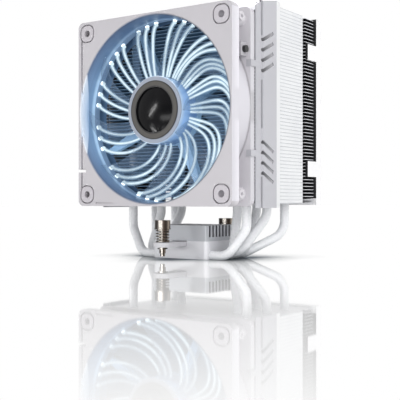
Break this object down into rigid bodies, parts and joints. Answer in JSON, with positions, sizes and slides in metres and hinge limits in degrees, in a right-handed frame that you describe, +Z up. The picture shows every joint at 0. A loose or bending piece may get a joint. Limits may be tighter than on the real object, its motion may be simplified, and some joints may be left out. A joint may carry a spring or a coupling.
{
  "type": "cpu tower cooler",
  "caption": "Tower cooler for a processor: direct-touch base, U-shaped heat pipes, a tall fin stack, slotted side plates, a lit fan clipped in front and an air guide behind.",
  "frame": {"origin": "centre of the contact face under the base", "axes": "+X to the right seen from the fan's side, +Y from the fan towards the air guide, +Z up from the contact face to the pipe tips"},
  "size_m": [0.1244, 0.1125, 0.163],
  "materials": {
    "base_metal": "satin",
    "pipe_coat": "satin",
    "fin_coat": "satin",
    "plate_coat": "satin",
    "nickel": "polished",
    "bar_coat": "satin",
    "fan_plastic": "satin",
    "pad_plastic": "matt",
    "grommet_rubber": "matt",
    "ring_clear": "translucent",
    "led_lens": "lit",
    "switch_plastic": "matt",
    "button_plastic": "matt",
    "rotor_clear": "translucent",
    "cap_black": "gloss",
    "ring_olive": "satin",
    "rim_grey": "satin",
    "core_steel": "satin",
    "coil_copper": "enamelled",
    "board_green": "matt",
    "bronze": "satin",
    "magnet_black": "matt",
    "guide_plastic": "matt"
  },
  "bodies": {
    "cooler": {"base_plate": "base_metal", "base_block": "base_metal", "block_screws": "nickel", "crossbar": "bar_coat", "heat_pipe_1": "pipe_coat", "heat_pipe_2": "pipe_coat", "heat_pipe_3": "pipe_coat", "heat_pipe_4": "pipe_coat", "heat_pipe_5": "pipe_coat", "fins": "fin_coat", "side_plate_right": "plate_coat", "side_plate_left": "plate_coat", "front_spring": "nickel", "rear_spring": "nickel", "fan_frame": "fan_plastic", "corner_pads": "pad_plastic", "lead_grommet": "grommet_rubber", "light_ring": "ring_clear", "leds": "led_lens", "switch_housing": "switch_plastic", "stator_core": "core_steel", "stator_coils": "coil_copper", "circuit_board": "board_green", "bearing_sleeve": "bronze"},
    "rotor": {"rotor_hub": "rotor_clear", "fan_blades": "rotor_clear", "hub_cap": "cap_black", "hub_ring": "ring_olive", "hub_rim": "rim_grey", "rotor_yoke": "core_steel", "magnet_ring": "magnet_black", "shaft_boss": "bronze", "rotor_shaft": "nickel", "shaft_clip": "nickel"},
    "led_button": {"led_button": "button_plastic"},
    "front_washer": {"front_washer": "nickel"},
    "front_screw": {"front_screw": "nickel", "front_clip": "nickel"},
    "rear_washer": {"rear_washer": "nickel"},
    "rear_screw": {"rear_screw": "nickel", "rear_clip": "nickel"},
    "air_guide": {"air_guide_frame": "guide_plastic", "air_guide_vanes": "guide_plastic"}
  },
  "joints": [
    {"name": "fan_spin", "type": "hinge", "parent": "cooler", "child": "rotor", "pos_m": [0, -0.0365, 0.094], "axis": [0, 1, 0], "continuous": true},
    {"name": "led_button_press", "type": "slide", "parent": "cooler", "child": "led_button", "axis": [-1, 0, 0], "range_m": [0, 0.0008], "stiffness_N_per_m": 600, "springref_m": -0.0005},
    {"name": "front_screw_press", "type": "slide", "parent": "cooler", "child": "front_washer", "axis": [0, 0, -1], "range_m": [0, 0.0035], "stiffness_N_per_m": 1500, "springref_m": -0.001, "deforming": ["front_spring"]},
    {"name": "front_screw_turn", "type": "hinge", "parent": "front_washer", "child": "front_screw", "pos_m": [0, -0.0365, 0.012], "axis": [0, 0, 1], "continuous": true},
    {"name": "rear_screw_press", "type": "slide", "parent": "cooler", "child": "rear_washer", "axis": [0, 0, -1], "range_m": [0, 0.0035], "stiffness_N_per_m": 1500, "springref_m": -0.001, "deforming": ["rear_spring"]},
    {"name": "rear_screw_turn", "type": "hinge", "parent": "rear_washer", "child": "rear_screw", "pos_m": [0, 0.0365, 0.012], "axis": [0, 0, 1], "continuous": true},
    {"name": "air_guide_pull", "type": "slide", "parent": "cooler", "child": "air_guide", "axis": [0, 1, 0], "range_m": [0, 0.014]}
  ]
}
